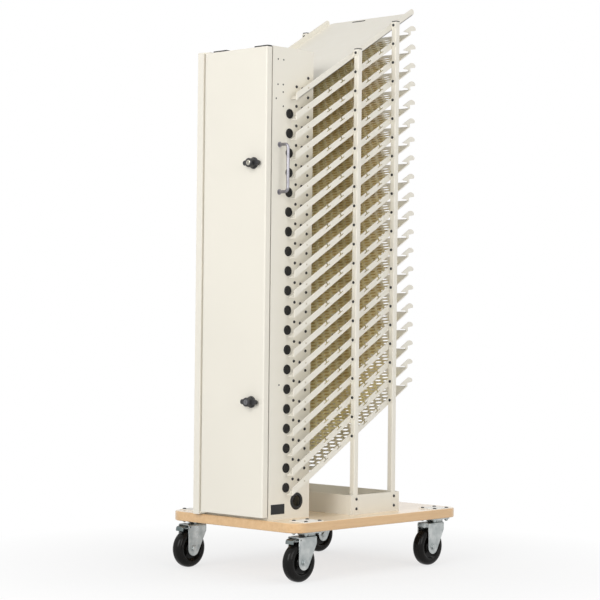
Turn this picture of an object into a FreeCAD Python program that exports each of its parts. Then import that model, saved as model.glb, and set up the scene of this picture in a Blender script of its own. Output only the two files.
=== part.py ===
"""Device charging tower: a steel charging cabinet and a stack of sloping device shelves on a wheeled board.

Millimetres, +Z up, the door faces -Y. The origin is on the floor, under the middle of the whole tower.
Depths are given from the cabinet's front edge, which stands a little behind the board's front edge.
"""
import math
import os

import FreeCAD
import Part

V = FreeCAD.Vector

# Base board and casters
board_width = 460.0
board_depth = 650.0
board_lead = 10.0
board_thick = 25.0
board_corner_radius = 40.0
board_edge_radius = 3.0
caster_height = 125.0
plate_edge_inset = 3.0
plate_cabinet_gap = 47.0
caster_end_inset = 72.0
caster_trail = 28.0
wheel_radius = 50.0
wheel_width = 32.0
tread_radius = 13.0
hub_radius = 13.0
axle_radius = 5.0
axle_head_radius = 8.0
axle_head_thick = 5.0
fork_sheet = 2.5
fork_crown_thick = 3.0
fork_side_gap = 1.5
fork_foot_radius = 19.0
fork_rear_reach = 17.0
fork_shoulder = 16.0
fork_bend_radius = 5.0
fork_corner_radius = 10.0
kingpin_radius = 6.0
race_radius = 23.0
race_thick = 7.0
race_gap = 0.3
caster_plate_depth = 68.0
caster_plate_thick = 3.0
top_plate_thick = 1.5
pedal_width = 26.0
pedal_length = 22.0
pedal_thick = 2.5
pedal_lip = 10.0
pedal_pin_radius = 2.5
pedal_pin_setback = 6.0

# Cabinet of sheet steel
cabinet_width = 250.0
cabinet_depth = 150.0
cabinet_height = 1196.0
sheet = 1.5
front_lip = 14.0
end_lip = 20.0
lower_back_height = 115.0
upper_back_height = 45.0

# Door, hinge stile and pivots
door_thick = 20.0
door_gap = 2.0
door_floor_gap = 4.0
door_edge_radius = 3.0
stile_width = 21.0
stile_gap = 1.0
pivot_radius = 3.0
pivot_plate = 3.0
pivot_length = 9.0
bush_length = 14.0
pad_width = 47.0
pad_depth = 15.0
pad_thick = 3.5
pad_inner_place = -47.0

# Turn latches on the door
latch_from_edge = 42.0
latch_heights = (297.0, 900.0)
latch_projection = 22.0
lock_plate_radius = 15.0
lock_plate_thick = 4.0
lock_barrel_radius = 9.0
core_radius = 11.5
spindle_radius = 5.0
wing_length = 54.0
wing_height = 13.0
wing_thick = 9.0
cam_length = 36.0
cam_width = 12.0
cam_thick = 2.0
cam_setback = 3.5

# Sloping shelves, their posts and the tray
tilt = math.radians(31.0)
shelf_count = 20
shelf_width = 310.0
shelf_sheet = 1.6
first_bolt_height = 93.0
last_bolt_margin = 103.0
bolt_depth_front = 87.0
bolt_depth_rear = 130.0
bolt_depth_low = 108.5
side_bolt_rise = 7.0
low_bolt_drop = 9.0
arm_width = 19.0
flange_above_bolts = 4.5
flange_below_bolts = 11.6
flange_start = -43.0
plate_end = 478.0
rim_length = 64.0
low_rim = 1.0
neck_setback = 6.0
neck_reach = 4.0
ear_setback = 24.0
bend_reach = 9.5
ear_reach = 27.5
ear_top = 8.0
ear_under = -3.5
ear_tip_radius = 5.0
ear_tip_turn = math.radians(20.0)
slot_places = (107.0, 165.0, 283.0, 341.0)
slot_stem_half = 2.5
slot_foot_half = 10.0
slot_foot_top = 6.0
slot_foot_bottom = 8.5
finger_width = 74.0
finger_depth = 24.0
tongue_start = -8.0
tongue_end = 62.0
tongue_flange = 22.0
slit_clearance = 2.0
post_size = 16.0
post_wall = 1.2
post_corner_radius = 2.5
post_depths = (280.0, 430.0)
post_above_bolt = 9.0
cap_thick = 2.5
clip_height = 14.0
clip_thick = 1.5
tray_height = 51.0
tray_overhang = 13.0
tray_bolt_heights = (15.0, 40.0)

# Screws, grommets and handles
bolt_radius = 4.0
bolt_head = 3.0
grommet_depth = 62.0
first_grommet_height = 79.0
grommet_radius = 12.5
grommet_hole_radius = 10.5
grommet_lip = 2.5
outlet_depth = 102.0
outlet_height = 43.0
outlet_radius = 22.0
outlet_hole_radius = 19.0
outlet_bore_radius = 14.0
blank_plate_depth = 33.5
blank_plate_height = 26.0
blank_plate_length = 49.0
blank_plate_width = 25.0
blank_plate_thick = 0.6
handle_depth = 27.0
handle_height = 888.0
handle_span = 120.0
handle_reach = 30.0
handle_wire_radius = 4.0
handle_bend_radius = 10.0
handle_foot_radius = 7.0
handle_foot_thick = 2.0

# Power strip inside the cabinet
strip_width = 38.0
strip_depth = 40.0
strip_top_gap = 61.0
strip_depth_place = 32.0
strip_height = 75.0
socket_size = 26.0
socket_recess = 3.0
first_socket = 80.0
rocker_length = 20.0
rocker_width = 12.0
rocker_place = 30.0
rocker_rise = 3.0
rocker_sink = 4.0
rocker_lean = math.radians(7.0)
rocker_pin_radius = 1.5
rocker_pin_length = 2.0

# Clearances
running_fit = 0.09
side_clearance = 0.5

# Places that follow from the sizes above
front_reach = door_gap + door_thick + latch_projection
board_front = -board_lead
board_rear = board_depth - board_lead
cabinet_front = -(board_rear - front_reach) / 2
deck = caster_height + board_thick
half_cabinet = cabinet_width / 2
caster_plate_width = board_width / 2 - plate_edge_inset - half_cabinet - plate_cabinet_gap
caster_x = board_width / 2 - plate_edge_inset - caster_plate_width / 2
inner_half = half_cabinet - sheet
cabinet_top = deck + cabinet_height
half_shelf = shelf_width / 2
post_x = half_shelf + post_size / 2
door_back = -door_gap
door_front = -(door_gap + door_thick)
door_middle = (door_back + door_front) / 2
nose_radius = door_thick / 2
door_bottom = deck + door_floor_gap
stile_edge = -half_cabinet + stile_width
pivot_x = stile_edge + stile_gap + nose_radius
latch_x = half_cabinet - latch_from_edge
shelf_pitch = (cabinet_height - first_bolt_height - last_bolt_margin) / shelf_count
strip_length = cabinet_height - strip_height - strip_top_gap
plate_low = -flange_below_bolts
plate_high = plate_low + shelf_sheet
flange_end = plate_end - rim_length
neck_start = plate_end - neck_setback
neck_end = plate_end + neck_reach
ear_start = plate_end - ear_setback
ear_bend = plate_end + bend_reach
ear_tip = plate_end + ear_reach
arm_inner = half_shelf - arm_width


def at_depth(depth):
    """Y of a point that lies this far behind the cabinet's front edge."""
    return cabinet_front + depth


def bolt_line(depth, level):
    """Height of one shelf's sloping line through its post bolts, at a depth behind the cabinet's front."""
    rise = (depth - bolt_depth_front) * math.tan(tilt)
    return deck + first_bolt_height + rise + level * shelf_pitch


def box(x0, x1, y0, y1, z0, z1):
    return Part.makeBox(x1 - x0, y1 - y0, z1 - z0, V(x0, y0, z0))


def rod(radius, start, end):
    axis = end - start
    return Part.makeCylinder(radius, axis.Length, start, axis)


def slab(points, thickness):
    """A flat outline of points, or of ready edges, pushed out along a vector."""
    return Part.Face(Part.makePolygon(points + points[:1])).extrude(thickness)


def rounded_column(x0, x1, y0, y1, z0, z1, radius):
    """A box whose four upright edges are rounded."""
    body = box(x0, x1, y0, y1, z0, z1)
    upright = [e for e in body.Edges if abs(e.tangentAt(e.FirstParameter).z) > 0.9]
    return body.makeFillet(radius, upright)


def mirrored(shape):
    return shape.mirror(V(0, 0, 0), V(1, 0, 0))


def hex_head(base, direction):
    """A low six-sided screw head that stands on a face at base and points along direction."""
    corner = V(0, 0, bolt_radius) if abs(direction.z) < 0.9 else V(bolt_radius, 0, 0)
    points = []
    for step in range(6):
        turn = FreeCAD.Rotation(direction, 60.0 * step)
        points.append(base + turn.multVec(corner))
    return slab(points, direction * bolt_head)


def save(name, *solids):
    shape = solids[0] if len(solids) == 1 else Part.makeCompound(list(solids))
    shape.exportStep("parts/" + name + ".step")


# Base board with round corners and softened edges
def base_board():
    half = board_width / 2
    board = rounded_column(-half, half, at_depth(board_front), at_depth(board_rear),
                           caster_height, deck, board_corner_radius)
    level = [e for e in board.Edges if abs(e.tangentAt(e.FirstParameter).z) < 0.1]
    return board.makeFillet(board_edge_radius, level)


# The four casters: corner names, whether they have a brake, and where their kingpins stand
def caster_places():
    front = at_depth(board_front + caster_end_inset)
    rear = at_depth(board_rear - caster_end_inset)
    return (("front_right", True, caster_x, front), ("front_left", True, -caster_x, front),
            ("rear_right", False, caster_x, rear), ("rear_left", False, -caster_x, rear))


race_bottom = caster_height - caster_plate_thick - race_thick
crown_top = race_bottom - race_gap
crown_bottom = crown_top - fork_crown_thick
fork_inner_half = wheel_width / 2 + fork_side_gap
fork_outer_half = fork_inner_half + fork_sheet
fork_front_reach = caster_trail + fork_foot_radius
pedal_pin_y = pedal_pin_setback - fork_front_reach
pedal_pin_z = crown_bottom - pedal_pin_radius - pedal_thick


def caster_plate(x, y):
    """Screw-on top plate with the ball race and the kingpin that the fork turns on."""
    plate = box(x - caster_plate_width / 2, x + caster_plate_width / 2,
                y - caster_plate_depth / 2, y + caster_plate_depth / 2,
                caster_height - caster_plate_thick, caster_height)
    race = rod(race_radius, V(x, y, race_bottom), V(x, y, caster_height - caster_plate_thick))
    pin_end = crown_bottom - race_gap
    pin = rod(kingpin_radius, V(x, y, pin_end), V(x, y, race_bottom))
    nut = rod(kingpin_radius * 1.6, V(x, y, pin_end - fork_crown_thick), V(x, y, pin_end))
    return plate.fuse(race).fuse(pin).fuse(nut).removeSplitter()


def caster_fork(x, y, braked):
    """Crown and two tapering legs bent from one strip, with the axle hole in their round feet."""
    axle_y = y - caster_trail
    front, rear = y - fork_front_reach, y + fork_rear_reach
    crown = box(x - fork_outer_half, x + fork_outer_half, front, rear, crown_bottom, crown_top)
    leg_x = x - fork_outer_half
    foot = rod(fork_foot_radius, V(leg_x, axle_y, wheel_radius),
               V(leg_x + fork_sheet, axle_y, wheel_radius))
    outline = [V(leg_x, front, crown_top), V(leg_x, rear, crown_top),
               V(leg_x, rear, crown_bottom - fork_shoulder),
               V(leg_x, axle_y + fork_foot_radius, wheel_radius),
               V(leg_x, axle_y - fork_foot_radius, wheel_radius)]
    leg = slab(outline, V(fork_sheet, 0, 0))
    corner = [e for e in leg.Edges if e.Length < fork_sheet * 1.01
              and e.CenterOfMass.y > rear - 1.0 and e.CenterOfMass.z < crown_bottom]
    leg = leg.makeFillet(fork_corner_radius, corner).fuse(foot)
    other = leg.translated(V(fork_outer_half + fork_inner_half, 0, 0))
    fork = crown.fuse(leg).fuse(other).removeSplitter()
    bends = [e for e in fork.Edges if e.CenterOfMass.z > crown_top - 0.1 and e.Length > rear - front - 1.0
             and abs(abs(e.CenterOfMass.x - x) - fork_outer_half) < 0.1]
    fork = fork.makeFillet(fork_bend_radius, bends)
    reach = V(fork_outer_half + 1.0, 0, 0)
    axle_hole = rod(axle_radius + running_fit, V(x, axle_y, wheel_radius) - reach,
                    V(x, axle_y, wheel_radius) + reach)
    king_hole = rod(kingpin_radius + running_fit, V(x, y, crown_bottom - 1.0), V(x, y, crown_top + 1.0))
    fork = fork.cut(axle_hole).cut(king_hole)
    if braked:
        centre = V(x, y + pedal_pin_y, pedal_pin_z)
        fork = fork.cut(rod(pedal_pin_radius + running_fit, centre - reach, centre + reach))
    return fork.removeSplitter()


def caster_wheel(x, y):
    """Wheel turned from a profile: wide hub, thin web and a round-shouldered tread."""
    half = wheel_width / 2
    bore = axle_radius + running_fit
    rim_inner = wheel_radius - tread_radius * 1.6
    shoulder = wheel_radius - tread_radius
    web_half = half * 0.45
    corner = tread_radius * math.sqrt(0.5)
    pieces = []
    left = [V(-half, bore, 0), V(-half, hub_radius, 0), V(-web_half, hub_radius, 0),
            V(-web_half, rim_inner, 0), V(-half, rim_inner, 0), V(-half, shoulder, 0)]
    for a, b in zip(left, left[1:]):
        pieces.append(Part.makeLine(a, b))
    edge = V(-half + tread_radius, wheel_radius, 0)
    middle = V(-half + tread_radius - corner, shoulder + corner, 0)
    pieces.append(Part.Arc(left[-1], middle, edge).toShape())
    mirror_edge = V(-edge.x, edge.y, 0)
    pieces.append(Part.makeLine(edge, mirror_edge))
    mirror_middle = V(-middle.x, middle.y, 0)
    pieces.append(Part.Arc(mirror_edge, mirror_middle, V(half, shoulder, 0)).toShape())
    right = [V(-p.x, p.y, 0) for p in reversed(left)]
    for a, b in zip(right, right[1:]):
        pieces.append(Part.makeLine(a, b))
    pieces.append(Part.makeLine(right[-1], left[0]))
    turned = Part.Face(Part.Wire(pieces)).revolve(V(0, 0, 0), V(1, 0, 0), 360)
    return turned.translated(V(x, y - caster_trail, wheel_radius))


def caster_axle(x, y):
    centre = V(x, y - caster_trail, wheel_radius)
    reach = V(fork_outer_half, 0, 0)
    head = V(axle_head_thick, 0, 0)
    shank = rod(axle_radius, centre - reach, centre + reach)
    for side in (1, -1):
        face = centre + reach * side
        shank = shank.fuse(rod(axle_head_radius, face, face + head * side))
    return shank.removeSplitter()


def brake_pedal(x, y):
    """Foot lever in front of the fork, turning on a pin between the legs."""
    pin_y = y + pedal_pin_y
    pin = rod(pedal_pin_radius, V(x - fork_outer_half, pin_y, pedal_pin_z),
              V(x + fork_outer_half, pin_y, pedal_pin_z))
    plate = box(x - pedal_width / 2, x + pedal_width / 2, pin_y - pedal_length, pin_y,
                pedal_pin_z, pedal_pin_z + pedal_thick)
    lip = box(x - pedal_width / 2, x + pedal_width / 2, pin_y - pedal_length,
              pin_y - pedal_length + pedal_thick, pedal_pin_z - pedal_lip, pedal_pin_z)
    return plate.fuse(lip).fuse(pin).removeSplitter()


def top_plate(x, y):
    """Backing plate on the board's upper face, over one caster."""
    return box(x - caster_plate_width / 2, x + caster_plate_width / 2,
               y - caster_plate_depth / 2, y + caster_plate_depth / 2, deck, deck + top_plate_thick)


# Cabinet panels
def side_panel():
    """Right-hand side: a flat sheet with a front lip, the row of cable holes and the mains outlet."""
    plate = box(inner_half, half_cabinet, at_depth(0), at_depth(cabinet_depth), deck, cabinet_top)
    lip = box(inner_half - front_lip, inner_half, at_depth(0), at_depth(sheet), deck, cabinet_top)
    return plate.fuse(lip).removeSplitter()


def cable_hole_heights():
    return [deck + first_grommet_height + shelf_pitch * row for row in range(shelf_count)]


def pierced_side_panel():
    panel = side_panel()
    through = V(sheet * 2, 0, 0)
    for height in cable_hole_heights():
        start = V(inner_half - sheet / 2, at_depth(grommet_depth), height)
        panel = panel.cut(rod(grommet_hole_radius, start, start + through))
    start = V(inner_half - sheet / 2, at_depth(outlet_depth), deck + outlet_height)
    return panel.cut(rod(outlet_hole_radius, start, start + through))


def grommet(height):
    """Closed rubber cable gland: a low disc outside the panel and a plug through its hole."""
    start = V(inner_half, at_depth(grommet_depth), height)
    face = start + V(sheet, 0, 0)
    plug = rod(grommet_hole_radius - running_fit, start, face)
    return plug.fuse(rod(grommet_radius, face, face + V(grommet_lip, 0, 0))).removeSplitter()


def outlet_grommet():
    start = V(inner_half, at_depth(outlet_depth), deck + outlet_height)
    face = start + V(sheet, 0, 0)
    end = face + V(grommet_lip, 0, 0)
    ring = rod(outlet_hole_radius - running_fit, start, face).fuse(rod(outlet_radius, face, end))
    return ring.cut(rod(outlet_bore_radius, start, end)).removeSplitter()


def end_panel(low):
    """Top or bottom of the cabinet: a sheet with a lip turned into the cabinet along front and rear."""
    outer = deck if low else cabinet_top
    inward = 1 if low else -1
    z0, z1 = sorted((outer, outer + inward * sheet))
    plate = box(-inner_half, inner_half, at_depth(sheet), at_depth(cabinet_depth), z0, z1)
    z0, z1 = sorted((outer, outer + inward * end_lip))
    lip = box(-inner_half, inner_half, at_depth(sheet), at_depth(2 * sheet), z0, z1)
    return plate.fuse(lip).removeSplitter()


def blank_plate():
    """Bare rating plate on the right-hand side, low down by the mains outlet."""
    y = at_depth(blank_plate_depth)
    z = deck + blank_plate_height
    return box(half_cabinet, half_cabinet + blank_plate_thick, y - blank_plate_length / 2,
               y + blank_plate_length / 2, z - blank_plate_width / 2, z + blank_plate_width / 2)


def back_panel(z0, z1):
    return box(-inner_half, inner_half, at_depth(cabinet_depth - sheet), at_depth(cabinet_depth), z0, z1)


def hinge_stile():
    """Box tube beside the door, on the hinge side, from the board to the top of the cabinet."""
    front = at_depth(door_front)
    outer = box(-half_cabinet, stile_edge, front, at_depth(0), deck, cabinet_top)
    inner = box(-half_cabinet + sheet, stile_edge - sheet, front + sheet, at_depth(0) - sheet,
                deck, cabinet_top)
    return outer.cut(inner)


# Door: a pan of sheet steel whose hinge edge is rolled into a tube round the pivots
door_low = door_bottom + pivot_plate + side_clearance
door_high = cabinet_top - pivot_plate - side_clearance


def door_panel():
    front, back = at_depth(door_front), at_depth(door_back)
    middle = at_depth(door_middle)
    pan = rounded_column(pivot_x, half_cabinet, front, back, door_low, door_high, door_edge_radius)
    square = box(pivot_x, pivot_x + nose_radius, front, back, door_low, door_high)
    hollow = box(pivot_x + nose_radius, half_cabinet - sheet, front + sheet, back,
                 door_low + sheet, door_high - sheet)
    nose = rod(nose_radius, V(pivot_x, middle, door_low), V(pivot_x, middle, door_high))
    bore = rod(nose_radius - sheet, V(pivot_x, middle, door_low), V(pivot_x, middle, door_high))
    door = pan.fuse(square).cut(hollow).fuse(nose).cut(bore)
    for height in latch_heights:
        start = V(latch_x, front - 1.0, deck + height)
        door = door.cut(rod(lock_barrel_radius + running_fit, start, start + V(0, sheet + 2.0, 0)))
    return door.removeSplitter()


def pivot_bush(z0, z1):
    middle = at_depth(door_middle)
    ring = rod(nose_radius - sheet - running_fit, V(pivot_x, middle, z0), V(pivot_x, middle, z1))
    return ring.cut(rod(pivot_radius + running_fit, V(pivot_x, middle, z0), V(pivot_x, middle, z1)))


def pivot_bracket(low):
    """Plate that reaches from the stile over or under the door's hinge edge, with the pivot pin on it."""
    middle = at_depth(door_middle)
    z0 = door_bottom if low else cabinet_top - pivot_plate
    plate = box(stile_edge, pivot_x + pivot_radius * 2, middle - nose_radius / 2, middle + nose_radius / 2,
                z0, z0 + pivot_plate)
    tip = z0 + pivot_plate + pivot_length if low else z0 - pivot_length
    root = z0 + pivot_plate if low else z0
    z_low, z_high = sorted((root, tip))
    pin = rod(pivot_radius, V(pivot_x, middle, z_low), V(pivot_x, middle, z_high))
    return plate.fuse(pin).removeSplitter()


def door_pad(x0):
    middle = at_depth(door_middle)
    return box(x0, x0 + pad_width, middle - pad_depth / 2, middle + pad_depth / 2,
               door_high, door_high + pad_thick)


def lock_body(height):
    """Round plate on the door's face with the barrel that guides the latch's spindle."""
    front = at_depth(door_front)
    z = deck + height
    plate = rod(lock_plate_radius, V(latch_x, front - lock_plate_thick, z), V(latch_x, front, z))
    barrel = rod(lock_barrel_radius, V(latch_x, front, z), V(latch_x, at_depth(door_back), z))
    bore = rod(spindle_radius + running_fit, V(latch_x, front - lock_plate_thick, z),
               V(latch_x, at_depth(door_back), z))
    return plate.fuse(barrel).cut(bore).removeSplitter()


def latch_handle(height):
    """Wing grip round a key cylinder, on the spindle that turns the cam."""
    seat = at_depth(door_front) - lock_plate_thick - side_clearance
    tip = at_depth(door_front) - latch_projection
    z = deck + height
    core = rod(core_radius, V(latch_x, tip, z), V(latch_x, seat, z))
    wing = rounded_wing(seat - wing_thick, seat, z)
    spindle = rod(spindle_radius, V(latch_x, seat, z), V(latch_x, at_depth(cam_setback), z))
    return core.fuse(wing).fuse(spindle).removeSplitter()


def rounded_wing(y0, y1, z):
    """Flat grip bar with half-round ends."""
    end = wing_length / 2 - wing_height / 2
    bar = box(latch_x - end, latch_x + end, y0, y1, z - wing_height / 2, z + wing_height / 2)
    for side in (1, -1):
        x = latch_x + side * end
        bar = bar.fuse(rod(wing_height / 2, V(x, y0, z), V(x, y1, z)))
    return bar


def latch_cam(height):
    """Steel tongue behind the door: hangs down when the latch is open, turns behind the lip to lock."""
    y0 = at_depth(cam_setback)
    z = deck + height
    blade = box(latch_x - cam_width / 2, latch_x + cam_width / 2, y0, y0 + cam_thick, z - cam_length, z)
    return blade.fuse(rod(cam_width / 2, V(latch_x, y0, z), V(latch_x, y0 + cam_thick, z))).removeSplitter()


# Shelves are drawn flat, with the row of bolts along +Y at Z 0, and then tilted into place
def ear_edges(x):
    """Hooked ear at the upper end: up the neck, out along the underside, round the tip, back along the top."""
    bend_radius = ear_tip - ear_bend
    bend_centre = V(x, ear_bend, ear_top - bend_radius)

    def along(angle):
        return V(0, math.cos(angle), math.sin(angle))

    tip_centre = bend_centre + along(ear_tip_turn) * (bend_radius - ear_tip_radius)
    tip_low = tip_centre - V(0, 0, ear_tip_radius)
    tip_middle = tip_centre + along(ear_tip_turn - math.pi / 4) * ear_tip_radius
    tip_high = bend_centre + along(ear_tip_turn) * bend_radius
    bend_middle = bend_centre + along(math.pi / 4) * bend_radius
    bend_top = V(x, ear_bend, ear_top)
    under = [V(x, plate_end, plate_low), V(x, neck_end, ear_under), tip_low]
    back = [bend_top, V(x, ear_start, ear_top), V(x, neck_start, ear_under), V(x, neck_start, plate_high + low_rim)]
    edges = [Part.makeLine(a, b) for a, b in zip(under, under[1:])]
    edges.append(Part.Arc(tip_low, tip_middle, tip_high).toShape())
    edges.append(Part.Arc(tip_high, bend_middle, bend_top).toShape())
    return edges + [Part.makeLine(a, b) for a, b in zip(back, back[1:])]


def flange_outline(x):
    """Side flange, cut upright at the arm's front: T-slots in its top edge, a low rim behind, and the ear."""
    top, rim = flange_above_bolts, plate_high + low_rim
    back = [V(x, neck_start, rim), V(x, flange_end + flange_above_bolts, rim), V(x, flange_end, top)]
    slot = ((slot_stem_half, 0), (slot_stem_half, slot_foot_top), (slot_foot_half, slot_foot_top),
            (slot_foot_half, slot_foot_bottom))
    for place in reversed(slot_places):
        back += [V(x, place + s, top - n) for s, n in slot]
        back += [V(x, place - s, top - n) for s, n in reversed(slot)]
    upright_lean = (top - plate_low) * math.tan(tilt)
    back += [V(x, flange_start + upright_lean, top), V(x, flange_start, plate_low), V(x, plate_end, plate_low)]
    edges = ear_edges(x) + [Part.makeLine(a, b) for a, b in zip(back, back[1:])]
    return Part.Face(Part.Wire(edges))


def tilted(shape, level):
    """Turns a flat shelf up by the tilt and sets its front bolts at their height."""
    placed = shape.rotated(V(0, 0, 0), V(1, 0, 0), math.degrees(tilt))
    return placed.translated(V(0, at_depth(bolt_depth_front), bolt_line(bolt_depth_front, level)))


def flat_shelf():
    """Plate with upturned flanges, arms along the cabinet's sides, a tongue into it and a finger notch."""
    rear_edge = (cabinet_depth - bolt_depth_front + plate_low * math.sin(tilt)) / math.cos(tilt)
    throat = rear_edge + slit_clearance
    half_tongue = inner_half - side_clearance
    shelf = box(-half_shelf, half_shelf, flange_start, plate_end, plate_low, plate_high)
    shelf = shelf.cut(box(-arm_inner, arm_inner, flange_start - 1.0, throat, plate_low - 1.0, plate_high + 1.0))
    shelf = shelf.fuse(box(-half_tongue, half_tongue, tongue_start, throat, plate_low, plate_high))
    finger = rounded_column(-finger_width / 2, finger_width / 2, plate_end - finger_depth,
                            plate_end + finger_depth, plate_low - 1.0, plate_high + 1.0, finger_depth / 3)
    shelf = shelf.cut(finger)
    for x in (-half_shelf, half_shelf - shelf_sheet):
        shelf = shelf.fuse(flange_outline(x).extrude(V(shelf_sheet, 0, 0)))
    for x in (-half_tongue, half_tongue - shelf_sheet):
        shelf = shelf.fuse(box(x, x + shelf_sheet, tongue_start, tongue_end, plate_low, plate_low + tongue_flange))
    return shelf.removeSplitter()


def post_levels():
    return range(shelf_count + 1)


def post(depth, x):
    """Square tube from the tray's floor to just above the top row of bolts."""
    half = post_size / 2
    y = at_depth(depth)
    z0, z1 = deck + sheet, bolt_line(depth - half, shelf_count) + post_above_bolt
    outer = rounded_column(x - half, x + half, y - half, y + half, z0, z1, post_corner_radius)
    return outer.cut(box(x - half + post_wall, x + half - post_wall,
                         y - half + post_wall, y + half - post_wall, z0, z1))


def post_cap(depth, x):
    half = post_size / 2
    y = at_depth(depth)
    z = bolt_line(depth - half, shelf_count) + post_above_bolt
    return rounded_column(x - half, x + half, y - half, y + half, z, z + cap_thick, post_corner_radius)


def post_clip(depth, side, level):
    """Small plate that ties a shelf's flange to the front face of a post."""
    face = depth - post_size / 2
    z = bolt_line(face, level)
    x0, x1 = sorted((side * half_shelf, side * (half_shelf + post_size)))
    return box(x0, x1, at_depth(face - clip_thick), at_depth(face), z - clip_height / 2, z + clip_height / 2)


def post_bolt(depth, side, level):
    face = depth - post_size / 2
    base = V(side * post_x, at_depth(face - clip_thick), bolt_line(face, level))
    return hex_head(base, V(0, -1, 0))


def side_bolt(depth, rise, side, level):
    return hex_head(V(side * half_cabinet, at_depth(depth), bolt_line(depth, level) + rise), V(side, 0, 0))


# Open steel tray that the four posts stand in
tray_half = half_shelf + post_size + sheet
tray_front = post_depths[0] - post_size / 2 - tray_overhang
tray_rear = post_depths[1] + post_size / 2 + tray_overhang


def post_tray():
    outer = box(-tray_half, tray_half, at_depth(tray_front), at_depth(tray_rear), deck, deck + tray_height)
    inner = box(-tray_half + sheet, tray_half - sheet, at_depth(tray_front + sheet),
                at_depth(tray_rear - sheet), deck + sheet, deck + tray_height)
    return outer.cut(inner)


def tray_bolt(depth, side, height):
    return hex_head(V(side * tray_half, at_depth(depth), deck + height), V(side, 0, 0))


# Bow handle bent from round wire, with a round foot at each end
def bow_handle():
    y = at_depth(handle_depth)
    low = deck + handle_height - handle_span / 2
    high = low + handle_span
    out = half_cabinet + handle_reach
    bend = handle_bend_radius
    corner = bend * (1 - math.sqrt(0.5))
    foot_low, foot_high = V(half_cabinet, y, low), V(half_cabinet, y, high)
    turn_low, turn_high = V(out - bend, y, low), V(out - bend, y, high)
    grip_low, grip_high = V(out, y, low + bend), V(out, y, high - bend)
    path = Part.Wire([
        Part.makeLine(foot_low, turn_low),
        Part.Arc(turn_low, V(out - corner, y, low + corner), grip_low).toShape(),
        Part.makeLine(grip_low, grip_high),
        Part.Arc(grip_high, V(out - corner, y, high - corner), turn_high).toShape(),
        Part.makeLine(turn_high, foot_high)])
    section = Part.Wire(Part.makeCircle(handle_wire_radius, foot_low, V(1, 0, 0)))
    handle = path.makePipeShell([section], True, False)
    for foot in (foot_low, foot_high):
        handle = handle.fuse(rod(handle_foot_radius, foot, foot + V(handle_foot_thick, 0, 0)))
    return handle.removeSplitter()


# Power strip on the cabinet's left wall, with recessed outlets and a rocker switch at the lower end
def strip_face():
    return -inner_half + strip_width


def power_strip():
    y0 = at_depth(strip_depth_place) - strip_depth / 2
    z0 = deck + strip_height
    face = strip_face()
    strip = box(-inner_half, face, y0, y0 + strip_depth, z0, z0 + strip_length)
    y = at_depth(strip_depth_place)
    for place in range(shelf_count):
        z = z0 + first_socket + place * shelf_pitch
        strip = strip.cut(box(face - socket_recess, face, y - socket_size / 2, y + socket_size / 2,
                              z - socket_size / 2, z + socket_size / 2))
    pocket_half = rocker_width / 2 + side_clearance
    pocket_length = rocker_length / 2 + 2 * side_clearance
    z = z0 + rocker_place
    depth = rocker_sink + rocker_rise
    strip = strip.cut(box(face - depth, face, y - pocket_half, y + pocket_half,
                          z - pocket_length, z + pocket_length))
    pin_x = rocker_pin_x()
    reach = V(0, pocket_half + rocker_pin_length, 0)
    return strip.cut(rod(rocker_pin_radius + running_fit, V(pin_x, y, z) - reach, V(pin_x, y, z) + reach))


def rocker_pin_x():
    return strip_face() - rocker_pin_radius - side_clearance


def rocker():
    """Two-faced rocker on a cross pin, at rest with its lower face pressed in."""
    y = at_depth(strip_depth_place)
    z = deck + strip_height + rocker_place
    face = strip_face()
    half = rocker_length / 2
    rise = half * math.tan(rocker_lean)
    points = [V(face - rocker_sink, 0, -half), V(face + rise, 0, -half), V(face, 0, 0),
              V(face + rise, 0, half), V(face - rocker_sink, 0, half)]
    body = slab([p + V(0, y - rocker_width / 2, z) for p in points], V(0, rocker_width, 0))
    pin_x = rocker_pin_x()
    reach = V(0, rocker_width / 2 + rocker_pin_length, 0)
    body = body.fuse(rod(rocker_pin_radius, V(pin_x, y, z) - reach, V(pin_x, y, z) + reach))
    turn = math.degrees(rocker_lean)
    return body.removeSplitter().rotated(V(pin_x, y, z), V(0, 1, 0), turn)


os.makedirs("parts", exist_ok=True)
save("base_board", base_board())
places = caster_places()
save("caster_plates", *[caster_plate(x, y) for name, braked, x, y in places])
save("top_plates", *[top_plate(x, y) for name, braked, x, y in places])
for name, braked, x, y in places:
    save("fork_" + name, caster_fork(x, y, braked), caster_axle(x, y))
    save("wheel_" + name, caster_wheel(x, y))
    if braked:
        save("brake_" + name, brake_pedal(x, y))

save("side_panel_right", pierced_side_panel())
save("side_panel_left", mirrored(side_panel()))
save("cabinet_top", end_panel(False))
save("cabinet_bottom", end_panel(True))
save("back_panels", back_panel(deck + sheet, deck + lower_back_height),
     back_panel(cabinet_top - upper_back_height, cabinet_top - sheet))
save("hinge_stile", hinge_stile(), pivot_bracket(True), pivot_bracket(False))
save("blank_plate", blank_plate())
save("cable_grommets", *[grommet(height) for height in cable_hole_heights()])
save("outlet_grommet", outlet_grommet())

save("door_panel", door_panel())
save("pivot_bushes", pivot_bush(door_low, door_low + bush_length), pivot_bush(door_high - bush_length, door_high))
save("door_pads", door_pad(half_cabinet - pad_width), door_pad(pad_inner_place - pad_width / 2))
save("lock_bodies", *[lock_body(height) for height in latch_heights])
for name, height in zip(("lower", "upper"), latch_heights):
    save("latch_" + name, latch_handle(height), latch_cam(height))

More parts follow.
